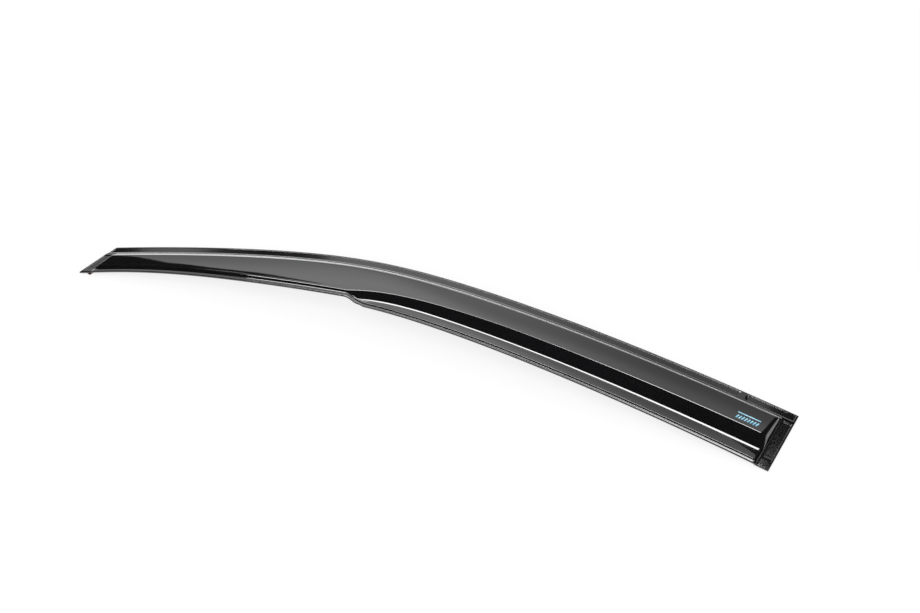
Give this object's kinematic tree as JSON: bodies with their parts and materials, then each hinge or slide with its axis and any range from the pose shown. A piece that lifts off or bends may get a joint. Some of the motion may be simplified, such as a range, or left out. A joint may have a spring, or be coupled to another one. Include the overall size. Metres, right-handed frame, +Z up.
{
  "type": "window rain deflector",
  "caption": "Bowed side-window rain deflector for a car's front door: smoked stepped shell with a flared wing, a flat mounting flange and foam tape under red liners.",
  "frame": {"origin": "middle of the bounding box in plan, on the surface that the deflector lies on", "axes": "+X along the length from the narrow front tip to the wide rear end, +Y across towards the upper edge with the mounting flange, +Z up, out of the outer face"},
  "size_m": [0.9204, 0.127, 0.0496],
  "materials": {
    "smoked_acrylic": "polished, nearly black smoke tint",
    "foam_tape": "matt closed-cell acrylic foam",
    "release_liner": "thin glossy film"
  },
  "bodies": {
    "root": {"visor_shell": "smoked_acrylic", "tape_front": "foam_tape", "tape_top": "foam_tape", "tape_top_rear": "foam_tape", "tape_rear": "foam_tape", "liner_front": "release_liner", "liner_top": "release_liner", "liner_top_rear": "release_liner", "liner_rear": "release_liner"}
  },
  "joints": []
}
